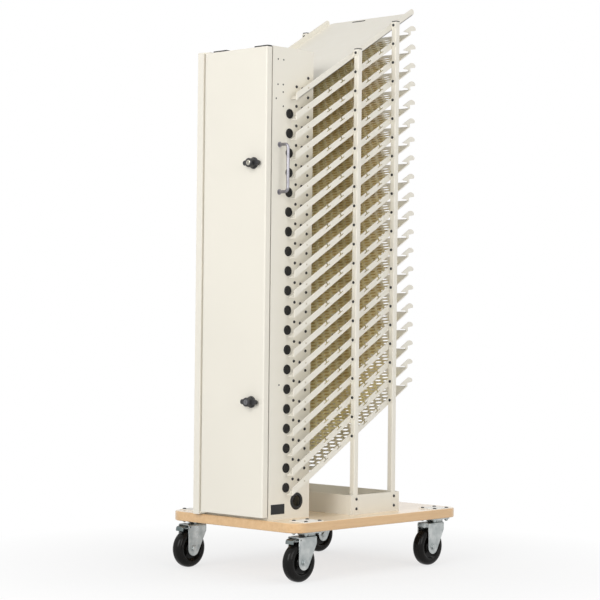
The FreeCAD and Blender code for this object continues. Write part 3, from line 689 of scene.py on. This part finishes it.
def lid_shapes():
    """Plate in (x, s) with round upper corners and arms, and two sides in (s, n) with a round nose."""
    start = FLANGE_START + FLANGE_LEAN
    right = np.vstack([[(LID_ARM, THROAT), (LID_ARM, start), (HALF_SHELF, start)],
                       arc((HALF_SHELF - LID_CORNER, LID_END - LID_CORNER), LID_CORNER, 0, 90, 7)])
    side = np.vstack([[(FLANGE_START, SHEET_LOW), (LID_END - LID_CORNER, SHEET_LOW)],
                      arc((LID_END - 12.0, FLANGE_TOP - LID_NOSE), LID_NOSE, -90, 90, 9),
                      [(start, FLANGE_TOP)]])
    sides = [placed(plate(side, x, x + SHEET), ORIGIN, ALONG_X) for x in (HALF_SHELF - SHEET, -HALF_SHELF)]
    return [plate(mirrored(right), SHEET_LOW, SHEET_HIGH), *sides]


def rounded_rectangle(half_x, half_y, radius, count=8):
    """Counter-clockwise outline with four round corners."""
    cx, cy = half_x - radius, half_y - radius
    return np.vstack([arc((cx, cy), radius, 0, 90, count), arc((-cx, cy), radius, 90, 180, count),
                      arc((-cx, -cy), radius, 180, 270, count), arc((cx, -cy), radius, 270, 360, count)])


lid = [sloped(shape, LID_LEVEL) for shape in lid_shapes()]
make("lid", lid, "tower", cream_steel, stands_for=["top_cover"], sharp=20.0)
pull_outline = rounded_rectangle(PULL_HALF, PULL_HIGH, PULL_ROUND, 6)
pull = placed(plate(pull_outline, SHEET_HIGH - 0.4, SHEET_HIGH + 0.2), PULL_PLACE)
# Painted shade: a thin dark shape stands for the pull slot's opening.
make("lid_pull", [sloped(pull, LID_LEVEL)], "tower", soft_rubber_and_hole_shade)
print("lid", len(lid), "sheets")

# %% [markdown]
# ## Shelf liners
# Light comes through the slots only at the open end and on the lowest shelves. Higher up they look
# closed from below, dark with shade. The slots could be left out there, but they are real openings
# in the sheet. A thin liner under the plate closes them and leaves the room for the devices free. It
# is a dark sheet put there for that shade, and its brown is painted shade. It is one flat outline
# with two cut corners, so the outer slots at the open end stay clear.

# %% Shelf liners
LINER_HALF, LINER_SHEET, LINER_CORNER, LINER_GAP = 118.0, 1.0, 43.0, 0.05
LINED_LEVELS = range(3, 20)
liner_right = [(LINER_HALF, FIELD_START), (LINER_HALF, FIELD_END - LINER_CORNER),
               (LINER_HALF - LINER_CORNER, FIELD_END)]
liner_top = SHEET_LOW - LINER_GAP
liner_sheet = plate(mirrored(liner_right), liner_top - LINER_SHEET, liner_top)
liners = [sloped(liner_sheet, level) for level in LINED_LEVELS]
# The liners are dark sheets put where the slots show shade.
make("shelf_liners", liners, "tower", liner_painted_shade, sharp=20.0)
print("liners", len(liners))

# %% [markdown]
# ## Screws, rivets, grommets and the mains outlet
# Black button-head screws hold every shelf to the cabinet and the posts. Each is a short profile
# turned round an axis, with a socket in its top. Blender could spin each one, but there are over
# two hundred, so a head has eight sides and the same few faces are copied to every place with
# numpy. The small rubber grommets close the cable holes, and the large ring below them is the
# mains outlet.

# %% Turned shapes
ALONG_MINUS_X = ((0, -1, 0), (0, 0, 1), (-1, 0, 0))
ALONG_MINUS_Y = ((1, 0, 0), (0, 0, 1), (0, -1, 0))
BOTH_SIDES = ((1, ALONG_X), (-1, ALONG_MINUS_X))


def ring_faces(rows, columns, closed):
    """Quads between rings of points. A closed profile also joins its last ring to its first."""
    r, c = np.meshgrid(np.arange(rows if closed else rows - 1), np.arange(columns), indexing="ij")
    r1, c1 = (r + 1) % rows, (c + 1) % columns
    quads = [r * columns + c, r * columns + c1, r1 * columns + c1, r1 * columns + c]
    return np.stack(quads, axis=-1).reshape(-1, 4).tolist()


def turned(profile, segments, closed=False):
    """Surface of revolution about Z: point (r, z) of the profile goes to (r cos a, r sin a, z).

    A closed profile gives a ring. An open one gets a flat face over each end. Profiles run so that
    the outside lies to the right of the path in the (r, z) plane: upwards along the outer wall.
    """
    profile = np.asarray(profile, float)
    angle = np.linspace(0, 2 * math.pi, segments, endpoint=False)
    r, z = profile[:, :1], profile[:, 1:]
    height = np.broadcast_to(z, (len(r), segments))
    points = np.stack([r * np.cos(angle), r * np.sin(angle), height], axis=-1)
    faces = ring_faces(len(profile), segments, closed)
    if not closed:
        faces.append(list(range(segments))[::-1])
        last = (len(profile) - 1) * segments
        faces.append(list(range(last, last + segments)))
    return points.reshape(-1, 3), faces


BUTTON = turned([(4.0, 0), (4.0, 0.8), (3.3, 2.1), (1.9, 2.8), (1.7, 1.5)], 8)
print("faces of a screw head", len(BUTTON[1]))

# %% Screws
LEVELS = np.arange(LID_LEVEL + 1)
SCREW_ROWS = ((SCREW_DEPTH, 7.0), (130.0, 7.0), (108.5, -9.0))
TRAY_SCREWS = np.array([15.0, 40.0])
POST_HALF, CLIP = 8.0, 1.5
POST_X = box_mm("post_front_right")[0][0] + POST_HALF
POST_FACES = [box_mm(name)[0][1] - CABINET_FRONT for name in ("post_front_right", "post_rear_right")]
TRAY_HALF = box_mm("post_tray")[1][0]


def screw_height(depth):
    """Heights of one sloping row of screws on all levels, at a depth behind the cabinet's front."""
    return DECK + FIRST_SCREW + (depth - SCREW_DEPTH) * math.tan(TILT) + PITCH * LEVELS


def column_of(x, depth, heights):
    """A column of places, one for each height, at a depth behind the cabinet's front."""
    ones = np.ones(len(heights))
    return np.stack([x * ones, (CABINET_FRONT + depth) * ones, heights], axis=1)


screws = []
for side, axes in BOTH_SIDES:
    places = [column_of(side * CABINET_HALF, depth, screw_height(depth) + rise) for depth, rise in SCREW_ROWS]
    places += [column_of(side * TRAY_HALF, depth + POST_HALF, DECK + TRAY_SCREWS) for depth in POST_FACES]
    screws.append(repeated(placed(BUTTON, ORIGIN, axes), np.vstack(places)))
    places = [column_of(side * POST_X, depth - CLIP, screw_height(depth)) for depth in POST_FACES]
    screws.append(repeated(placed(BUTTON, ORIGIN, ALONG_MINUS_Y), np.vstack(places)))
make("button_screws", screws, "tower", black_screw, stands_for=["bolts"], sharp=50.0)
print("screws", sum(len(points) for points, faces in screws) // len(BUTTON[0]))

# %% Rivets
PANEL_RIVET = turned([(2.3, -0.5), (2.3, 0.15), (1.6, 0.3)], 10)
PANEL_PLACES = ((19, 1164), (39, 1164), (19, 1100), (38, 1101), (38, 1082), (13, 1064), (39, 1046), (34, 340))
ARM_RIVET = turned([(2.6, -0.5), (2.6, 0.5), (1.9, 1.0), (0.8, 1.15)], 8)
RIVET_S, RIVET_N = 13.0, -3.5
spots = np.array([(CABINET_HALF, CABINET_FRONT + depth, DECK + height) for depth, height in PANEL_PLACES])
panel_rivets = repeated(placed(PANEL_RIVET, ORIGIN, ALONG_X), spots)
make("panel_rivets", [panel_rivets], "tower", black_screw)
rivet_heights = screw_height(SCREW_DEPTH) + RIVET_S * math.sin(TILT) + RIVET_N * math.cos(TILT)
rivet_depth = SCREW_DEPTH + RIVET_S * math.cos(TILT) - RIVET_N * math.sin(TILT)
arm_rivets = []
for side, axes in BOTH_SIDES:
    places = column_of(side * HALF_SHELF, rivet_depth, rivet_heights)
    arm_rivets.append(repeated(placed(ARM_RIVET, ORIGIN, axes), places))
make("arm_rivets", arm_rivets, "tower", rivet_paint, sharp=60.0)
print("rivets", len(spots), "on the panel,", 2 * len(rivet_heights), "on the arms")

# %% Grommets and mains outlet
GROMMET_RADIUS = 12.5
GROMMET = turned([(10.4, -1.5), (10.4, 0), (GROMMET_RADIUS, 0), (GROMMET_RADIUS, 1.0), (12.1, 1.9),
                  (11.2, 2.4), (10.0, 2.5), (8.9, 2.1), (8.4, 1.2), (4.0, 0.9), (0.7, 1.3)], 28)
OUTLET = turned([(14.0, -1.5), (18.9, -1.5), (18.9, 0), (22.0, 0), (22.0, 1.0), (21.4, 2.0), (20.2, 2.5),
                 (16.0, 2.5), (14.6, 2.1), (14.0, 1.2)], 48, closed=True)
low, high = box_mm("cable_grommets")
grommet_depth = (low[1] + high[1]) / 2 - CABINET_FRONT
grommet_heights = np.linspace(low[2] + GROMMET_RADIUS, high[2] - GROMMET_RADIUS, len(shelf_names))
plugs = repeated(placed(GROMMET, ORIGIN, ALONG_X), column_of(CABINET_HALF, grommet_depth, grommet_heights))
make("rubber_grommets", [plugs], "tower", soft_rubber_and_hole_shade, stands_for=["cable_grommets"])
low, high = box_mm("outlet_grommet")
ring = placed(OUTLET, (CABINET_HALF, (low[1] + high[1]) / 2, (low[2] + high[2]) / 2), ALONG_X)
make("outlet_ring", [ring], "tower", soft_rubber_and_hole_shade, stands_for=["outlet_grommet"])
print("grommets", len(grommet_heights))

# %% [markdown]
# ## Turn latches
# A turn latch is a winged grip round a key cylinder. It sits on a fixed ring on the door, and its
# spindle carries a steel cam behind the sheet. The upper cylinder has a bright face, the lower a
# dark one. The grip could be sculpted as one soft form, but a latch is small here, so the round
# parts are turned, and the wing and the cam are flat outlines with rounded edges.

# %% Turn latches
GRIP_RADIUS, CAM_HALF, CAM_LENGTH = 11.5, 6.0, 36.0
RING = turned([(5.1, -20.0), (9.0, -20.0), (9.0, 0), (15.0, 0), (15.0, 1.6), (14.4, 3.2), (13.0, 4.0),
               (5.1, 4.0)], 40, closed=True)
GRIP = turned([(5.0, -25.5), (5.0, 4.5), (GRIP_RADIUS, 4.5), (GRIP_RADIUS, 19.8), (11.0, 21.2), (9.8, 22.0),
               (7.6, 22.0), (7.1, 21.0)], 40)
KEY_FACE = turned([(6.9, 20.6), (6.9, 21.4), (6.3, 21.8), (3.0, 21.9)], 28)
WING = plate(rounded_rectangle(27.0, 6.5, 6.3, 9), 4.5, 13.5)
cam_tip = [(-CAM_HALF, 2.0 - CAM_LENGTH), (-4.0, -CAM_LENGTH),
           (4.0, -CAM_LENGTH), (CAM_HALF, 2.0 - CAM_LENGTH)]
CAM = plate(np.vstack([arc(ORIGIN, CAM_HALF, 0, 180, 9), cam_tip]), -27.5, -25.5)
# Painted shade: a thin dark block stands for the keyhole's opening.
KEYHOLE = block(-0.7, 0.7, -3.0, 3.0, 21.5, 21.95)
DOOR_FACE = box_mm("door_panel")[0][1]
rings = []
for name, face_finish in (("upper", key_steel), ("lower", grey_plastic)):
    low, high = box_mm("latch_" + name)
    centre = ((low[0] + high[0]) / 2, DOOR_FACE, high[2] - GRIP_RADIUS)
    ring, grip, wing, key_face, keyhole, cam = [
        placed(shape, centre, ALONG_MINUS_Y) for shape in (RING, GRIP, WING, KEY_FACE, KEYHOLE, CAM)]
    rings.append(ring)
    body = name + "_latch"
    make("grip_" + name, [grip, wing], body, black_plastic,
         stands_for=["latch_" + name], bevel=0.8)
    make("key_face_" + name, [key_face], body, face_finish)
    make("keyhole_" + name, [keyhole], body, black_screw)
    make("cam_" + name, [cam], body, zinc, bevel=0.3)
make("latch_rings", rings, "door", black_plastic, stands_for=["lock_bodies"])
print("latches", len(rings))

# %% [markdown]
# ## Casters
# A swivel caster has a screwed plate with a ball race, a fork pressed from one sheet, and a wheel.
# The fork's top is a bent U section pushed along the caster; the legs are outlines with a
# round foot. The wheel is one turned profile, with a round-shouldered tread, a recessed web and a
# hub. Nuts and axle ends are six-sided. The CAD casters could be kept, but they have neither rims,
# nuts nor pressed edges, so new ones take their places from the boxes of the CAD nodes.

# %% Casters: wheels
SHOULDER_RADIUS, SHOULDER_START = 13.0, 37.0


def wheel_profile():
    """Ring profile in (r, x): bore, hub, recessed web, rim, and a tread with a 13 mm round shoulder."""
    side = [(5.1, -16.0), (12.0, -16.0), (13.0, -15.0), (14.0, -8.5), (16.0, -7.2), (27.0, -7.2),
            (29.5, -8.4), (31.5, -14.6), (33.0, -15.8), (SHOULDER_START, -16.0)]
    shoulder = arc((SHOULDER_START, -3.0), SHOULDER_RADIUS, 270, 360, 10)
    return mirrored(np.vstack([side, shoulder[1:]]), (1, -1))


WHEEL = turned(wheel_profile(), 72, closed=True)
axles = {}
for corner in corners:
    low, high = box_mm("wheel_" + corner)
    axles[corner] = (low + high) / 2
    make("tyre_" + corner, [placed(WHEEL, axles[corner], ALONG_X)], "roller_" + corner, tyre_rubber,
         stands_for=["wheel_" + corner], sharp=60.0)
print("wheels", len(axles))

# %% Casters: forks with their axles
KING_TO_AXLE = 28.0
FORK_OUTER, FORK_SHEET, CROWN_BEND = 20.0, 2.5, 5.0
LEG_CORNER, CORNER_DROP = 11.0, 12.0
AXLE_RADIUS, NUT_RADIUS, NUT_END, KING_NUT_RADIUS = 5.0, 7.6, 24.6, 9.5


def hexagon(radius):
    """Six points on a circle."""
    return arc(ORIGIN, radius, 0, 300, 6)


def fork_shapes(axle, fork_low, fork_high):
    """U-shaped crown, legs, axle and nuts. Local x is across, y from the axle, z from its height.

    A leg's rear edge is the line that touches the foot's circle and the corner's circle. It turns
    from the line between their centres by the angle whose cosine is the radii's difference over
    their distance.
    """
    front, rear, top = fork_low[1] - axle[1], fork_high[1] - axle[1], fork_high[2] - axle[2]
    flat, bend = FORK_OUTER - CROWN_BEND, top - CROWN_BEND
    section = np.vstack([arc((flat, bend), CROWN_BEND, 0, 90, 7),
                         arc((-flat, bend), CROWN_BEND, 90, 180, 7),
                         arc((-flat, bend), CROWN_BEND - FORK_SHEET, 180, 90, 7),
                         arc((flat, bend), CROWN_BEND - FORK_SHEET, 90, 0, 7)])
    crown = placed(plate(section, -rear, -front), ORIGIN, ALONG_MINUS_Y)
    corner = np.array([rear - LEG_CORNER, bend - CORNER_DROP])
    turn = np.arccos((-front - LEG_CORNER) / np.hypot(*corner))
    lean = np.degrees(np.arctan2(corner[1], corner[0]) - turn)
    leg = np.vstack([arc(ORIGIN, -front, 180, 360 + lean, 17), arc(corner, LEG_CORNER, lean, 0, 5),
                     [(rear, bend), (front, bend)]])
    legs = [placed(plate(leg, x, x + FORK_SHEET), ORIGIN, ALONG_X)
            for x in (FORK_OUTER - FORK_SHEET, -FORK_OUTER)]
    shank = placed(turned([(AXLE_RADIUS, -FORK_OUTER), (AXLE_RADIUS, FORK_OUTER)], 16), ORIGIN, ALONG_X)
    nut = plate(hexagon(NUT_RADIUS), FORK_OUTER, NUT_END)
    washer = turned([(9.5, FORK_OUTER), (9.5, FORK_OUTER + 1.0), (7.0, FORK_OUTER + 1.2)], 24)
    nuts, washers = [[placed(shape, ORIGIN, axes) for side, axes in BOTH_SIDES] for shape in (nut, washer)]
    king_nut = placed(plate(hexagon(KING_NUT_RADIUS), top - 7.5, top - FORK_SHEET), (0, KING_TO_AXLE, 0))
    return [placed(shape, axle) for shape in [crown, *legs, shank, *nuts, *washers, king_nut]]


for corner in corners:
    make("caster_fork_" + corner, fork_shapes(axles[corner], *box_mm("fork_" + corner)), "caster_" + corner,
         zinc, stands_for=["fork_" + corner], bevel=0.5)
print("forks", len(corners))

# %% Casters: plates, races and bolts
BOARD_UNDER, PLATE_TOP = box_mm("base_board")[0][2], box_mm("top_plates")[1][2]
MOUNT = plate(rounded_rectangle(27.5, 34.0, 5.0), -3.0, 0.0)
RACE = turned([(17.0, -10.0), (21.0, -9.2), (23.0, -7.6), (23.0, -6.4), (21.4, -5.2), (22.6, -4.2),
               (21.8, -3.0)], 40)
NUT = joined([plate(hexagon(5.6), -7.0, -3.0), turned([(3.0, -9.0), (3.0, -7.0)], 10)])
STUD = turned([(5.0, 0), (5.0, 0.9), (4.2, 2.0), (2.0, 2.6)], 14)
BOLTS = np.array([(x, y, 0) for x in (-21, 21) for y in (-25, 25)])
undersides, studs = [], []
for corner in corners:
    king = np.array([axles[corner][0], axles[corner][1] + KING_TO_AXLE, BOARD_UNDER])
    undersides += [placed(MOUNT, king), placed(RACE, king), repeated(NUT, king + BOLTS)]
    studs.append(repeated(STUD, king + BOLTS + [0, 0, PLATE_TOP - BOARD_UNDER]))
make("caster_tops", undersides, "tower", zinc, stands_for=["caster_plates"], sharp=40.0, bevel=0.4)
make("plate_studs", studs, "tower", black_screw, sharp=60.0)
print("caster tops", len(corners), "studs", len(studs) * len(BOLTS))

# %% Casters: brake pedals
PEDAL_LENGTH, PEDAL_HALF, PEDAL_SHEET = 22.0, 13.0, 2.5
LIP_RADIUS, LIP_DEPTH, PIN_RADIUS = 8.0, 10.0, 2.5
BRAKED = corners[:2]


def pedal_outline():
    """Side view in (y, z): a strip from the pin out to a rounded lip that is turned down."""
    end = -PEDAL_LENGTH
    bend = (end + LIP_RADIUS, PEDAL_SHEET - LIP_RADIUS)
    outer = np.vstack([[(0.0, PEDAL_SHEET)], arc(bend, LIP_RADIUS, 90, 180, 9), [(end, -LIP_DEPTH)]])
    inner = np.vstack([[(end + PEDAL_SHEET, -LIP_DEPTH)],
                       arc(bend, LIP_RADIUS - PEDAL_SHEET, 180, 90, 9), [(0.0, 0.0)]])
    return np.vstack([outer, inner])


PEDAL = plate(pedal_outline(), -PEDAL_HALF, PEDAL_HALF)
PIN = turned([(PIN_RADIUS, -FORK_OUTER), (PIN_RADIUS, FORK_OUTER)], 14)
for corner in BRAKED:
    low, high = box_mm("brake_" + corner)
    hinge = ((low[0] + high[0]) / 2, low[1] + PEDAL_LENGTH, high[2] - PEDAL_SHEET)
    make("pedal_" + corner, [placed(shape, hinge, ALONG_X) for shape in (PEDAL, PIN)],
         "brake_lever_" + corner, brake_zinc, stands_for=["brake_" + corner], bevel=0.5)
print("pedals", len(BRAKED))

# %% [markdown]
# ## Power strip
# Behind the door a power strip runs up the left wall, with one outlet for each shelf. The CAD strip
# already has the square recesses. Each gets two narrow blade slots and a round earth hole. They could
# be cut into the strip, but its mesh stays as it is, so thin dark shapes lie in each recess: painted
# shade for the dark inside of the holes.

# %% Power strip
FIRST_SOCKET, RECESS = 80.0, 3.0
BLADE_OUT, BLADE_HALF, BLADE_LENGTH, EARTH_DROP = 6.3, 0.9, 3.5, -7.5
SINK, PROUD = -0.2, 0.15
low, high = box_mm("power_strip")
blades = [block(SINK, PROUD, y - BLADE_HALF, y + BLADE_HALF, -BLADE_LENGTH, BLADE_LENGTH)
          for y in (-BLADE_OUT, BLADE_OUT)]
earth = placed(turned([(2.4, SINK), (2.4, PROUD)], 12), (0, 0, EARTH_DROP), ALONG_X)
socket_heights = low[2] + FIRST_SOCKET + PITCH * np.arange(len(shelf_names))
spots = column_of(high[0] - RECESS, (low[1] + high[1]) / 2 - CABINET_FRONT, socket_heights)
# Painted shade: thin dark shapes stand for the holes of each socket.
make("socket_slots", [repeated(joined([*blades, earth]), spots)], "tower", soft_rubber_and_hole_shade)
print("sockets", len(spots))

# %% [markdown]
# ## Floor, world and lights
# The photograph is a cut-out on white. A floor could be lit until it is white, but that light would
# wash out the object too. The floor is a pale matt sheet instead. To the camera it also glows a
# little, and more so away from the object, until it is plain white like the world behind it, so there
# is no horizon. The object gets none of that glow. A large soft lamp in front makes the door the
# brightest face, a weaker one fills the right side, and a third from behind opens up the top.

# %% Floor
FLOOR_HALF = 9.0
FLOOR_GLOW, GLOW_NEAR, GLOW_FAR = 0.72, 0.35, 1.1


def light_path_mask(tree):
    """1 for rays from the camera, and for what mirrors and glass show, else 0."""
    path = tree.nodes.new("ShaderNodeLightPath").outputs
    return largest(tree, path["Is Camera Ray"], path["Is Glossy Ray"], path["Is Transmission Ray"])


floor_mesh = bpy.data.meshes.new("floor")
floor_corners = [(x * FLOOR_HALF, y * FLOOR_HALF, 0) for x, y in ((-1, -1), (1, -1), (1, 1), (-1, 1))]
floor_mesh.from_pydata(floor_corners, [], [(0, 1, 2, 3)])
floor = bpy.data.objects.new("floor", floor_mesh)
bpy.context.collection.objects.link(floor)
pale = Finish("pale_floor", Roughness=0.9)
pale.to("Base Color", pale.ramp(pale.noise(3.0), (0.3, (0.78, 0.78, 0.78)), (0.7, (0.80, 0.80, 0.80))))
distance = pale.add("ShaderNodeVectorMath", operation="LENGTH")
pale.link(pale.place, distance.inputs[0])
white = pale.add("ShaderNodeEmission", Strength=1.0)
glow = pale.add("ShaderNodeMath", operation="MULTIPLY")
pale.link(light_path_mask(pale.tree), glow.inputs[0])
pale.link(pale.spread(distance.outputs["Value"], FLOOR_GLOW, 1.0, GLOW_NEAR, GLOW_FAR), glow.inputs[1])
blend = pale.add("ShaderNodeMixShader")
pale.link(glow.outputs[0], blend.inputs["Fac"])
pale.link(pale.shader.outputs["BSDF"], blend.inputs[1])
pale.link(white.outputs["Emission"], blend.inputs[2])
pale.link(blend.outputs["Shader"], pale.tree.nodes["Material Output"].inputs["Surface"])
floor_mesh.materials.append(pale.material)
print("floor", 2 * FLOOR_HALF, "m wide")

# %% World and lights
WORLD_LEVEL = 0.44
KEY_WATTS, FILL_WATTS, TOP_WATTS = 112.0, 52.0, 24.0


def soft_lamp(name, place, aim, size, watts):
    """A square area lamp that faces a point: its z runs from the point to the lamp, its x is level."""
    data = bpy.data.lights.new(name, "AREA")
    data.size = size
    data.energy = watts
    lamp = bpy.data.objects.new(name, data)
    bpy.context.collection.objects.link(lamp)
    back = np.array(place, float) - np.array(aim, float)
    back /= np.linalg.norm(back)
    side = np.cross((0, 0, 1), back)
    side /= np.linalg.norm(side)
    stand(lamp, np.stack([side, np.cross(back, side), back], axis=1), place)


world = bpy.data.worlds.new("white_studio")
bpy.context.scene.world = world
world.use_nodes = True
sky = world.node_tree
background = sky.nodes["Background"]
background.inputs["Color"].default_value = (1, 1, 1, 1)
sky_strength = mapped(sky, light_path_mask(sky), 0, 1, WORLD_LEVEL, 1.0)
sky.links.new(sky_strength, background.inputs["Strength"])
soft_lamp("key_lamp", (0.7, -4.2, 2.5), (0, 0, 0.8), 2.8, KEY_WATTS)
soft_lamp("fill_lamp", (4.1, -1.1, 1.9), (0, 0, 0.7), 2.4, FILL_WATTS)
soft_lamp("top_lamp", (1.2, 2.2, 3.4), (0, 0, 0.9), 2.0, TOP_WATTS)
bpy.context.scene.view_settings.view_transform = "Standard"
print("world level", WORLD_LEVEL, "lamps", len(bpy.data.lights))
